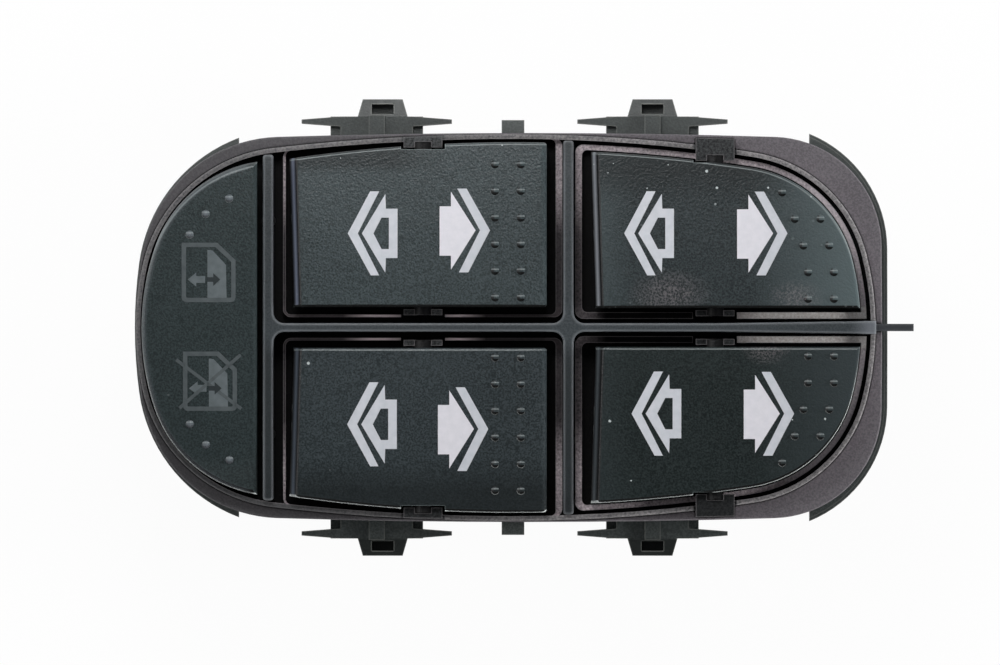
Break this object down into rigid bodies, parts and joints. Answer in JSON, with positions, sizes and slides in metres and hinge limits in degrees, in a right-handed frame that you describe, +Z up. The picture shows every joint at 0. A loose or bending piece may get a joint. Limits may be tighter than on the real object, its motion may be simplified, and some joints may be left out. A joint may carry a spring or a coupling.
{
  "type": "power window switch",
  "caption": "Door-panel power window switch: window rockers in two rows, a crescent lockout rocker at the end, side snap clips and a connector socket below.",
  "frame": {"origin": "middle of the connector socket's mouth, on the plane of the shroud rim that the part stands on", "axes": "+X along the panel from the crescent rocker to the blade, +Y across the panel, +Z up through the rockers"},
  "size_m": [0.1169, 0.0688, 0.038],
  "materials": {
    "rocker_plastic": "fine leather grain, black-green",
    "rib_plastic": "smooth satin, black-green",
    "bezel_plastic": "fine spark-eroded texture, purple-grey",
    "carrier_plastic": "satin moulded, dark grey",
    "case_plastic": "satin moulded, dark grey",
    "board": "solder mask",
    "header": "moulded header with tinned pins",
    "spring_steel": "bright strip",
    "contact_brass": "stamped strip",
    "slider_plastic": "natural acetal",
    "lamp_body": "clear moulded lamp"
  },
  "bodies": {
    "base": {"bezel": "bezel_plastic", "divider_frame": "rib_plastic", "carrier": "carrier_plastic", "lower_case": "case_plastic", "circuit_board": "board", "pin_header": "header", "lockout_detent_spring": "spring_steel", "lamp_lockout": "lamp_body", "centring_spring_front_left": "spring_steel", "centring_spring_rear_left": "spring_steel", "centring_spring_front_right": "spring_steel", "centring_spring_rear_right": "spring_steel", "lamp_front_left": "lamp_body", "lamp_rear_left": "lamp_body", "lamp_front_right": "lamp_body", "lamp_rear_right": "lamp_body"},
    "rocker_front_left": {"window_rocker_front_left": "rocker_plastic"},
    "contacts_front_left": {"slider_front_left": "slider_plastic", "contact_bridge_front_left": "contact_brass"},
    "rocker_rear_left": {"window_rocker_rear_left": "rocker_plastic"},
    "contacts_rear_left": {"slider_rear_left": "slider_plastic", "contact_bridge_rear_left": "contact_brass"},
    "rocker_front_right": {"window_rocker_front_right": "rocker_plastic"},
    "contacts_front_right": {"slider_front_right": "slider_plastic", "contact_bridge_front_right": "contact_brass"},
    "rocker_rear_right": {"window_rocker_rear_right": "rocker_plastic"},
    "contacts_rear_right": {"slider_rear_right": "slider_plastic", "contact_bridge_rear_right": "contact_brass"},
    "rocker_lockout": {"lockout_rocker": "rocker_plastic"},
    "contacts_lockout": {"slider_lockout": "slider_plastic", "contact_bridge_lockout": "contact_brass"}
  },
  "joints": [
    {"name": "rocker_front_left_hinge", "type": "hinge", "parent": "base", "child": "rocker_front_left", "pos_m": [-0.0135, 0, 0.0336], "axis": [0, 1, 0], "range_deg": [-6, 6], "stiffness_Nm_per_rad": 0.12, "deforming": ["centring_spring_front_left"]},
    {"name": "contacts_front_left_slide", "type": "slide", "parent": "base", "child": "contacts_front_left", "axis": [1, 0, 0], "range_m": [-0.0015, 0.0015]},
    {"name": "rocker_rear_left_hinge", "type": "hinge", "parent": "base", "child": "rocker_rear_left", "pos_m": [-0.0135, 0, 0.0336], "axis": [0, 1, 0], "range_deg": [-6, 6], "stiffness_Nm_per_rad": 0.12, "deforming": ["centring_spring_rear_left"]},
    {"name": "contacts_rear_left_slide", "type": "slide", "parent": "base", "child": "contacts_rear_left", "axis": [1, 0, 0], "range_m": [-0.0015, 0.0015]},
    {"name": "rocker_front_right_hinge", "type": "hinge", "parent": "base", "child": "rocker_front_right", "pos_m": [0.0303, 0, 0.0336], "axis": [0, 1, 0], "range_deg": [-6, 6], "stiffness_Nm_per_rad": 0.12, "deforming": ["centring_spring_front_right"]},
    {"name": "contacts_front_right_slide", "type": "slide", "parent": "base", "child": "contacts_front_right", "axis": [1, 0, 0], "range_m": [-0.0015, 0.0015]},
    {"name": "rocker_rear_right_hinge", "type": "hinge", "parent": "base", "child": "rocker_rear_right", "pos_m": [0.0303, 0, 0.0336], "axis": [0, 1, 0], "range_deg": [-6, 6], "stiffness_Nm_per_rad": 0.12, "deforming": ["centring_spring_rear_right"]},
    {"name": "contacts_rear_right_slide", "type": "slide", "parent": "base", "child": "contacts_rear_right", "axis": [1, 0, 0], "range_m": [-0.0015, 0.0015]},
    {"name": "rocker_lockout_hinge", "type": "hinge", "parent": "base", "child": "rocker_lockout", "pos_m": [-0.0465, 0, 0.0326], "axis": [1, 0, 0], "range_deg": [-8, 0]},
    {"name": "contacts_lockout_slide", "type": "slide", "parent": "base", "child": "contacts_lockout", "axis": [0, 1, 0], "range_m": [-0.0019, 0.0001]}
  ],
  "couplings": [
    {"joint": "contacts_front_left_slide", "follows": "rocker_front_left_hinge", "m_per_rad": -0.0139},
    {"joint": "contacts_rear_left_slide", "follows": "rocker_rear_left_hinge", "m_per_rad": -0.0139},
    {"joint": "contacts_front_right_slide", "follows": "rocker_front_right_hinge", "m_per_rad": -0.0139},
    {"joint": "contacts_rear_right_slide", "follows": "rocker_rear_right_hinge", "m_per_rad": -0.0139},
    {"joint": "contacts_lockout_slide", "follows": "rocker_lockout_hinge", "m_per_rad": 0.0129}
  ]
}
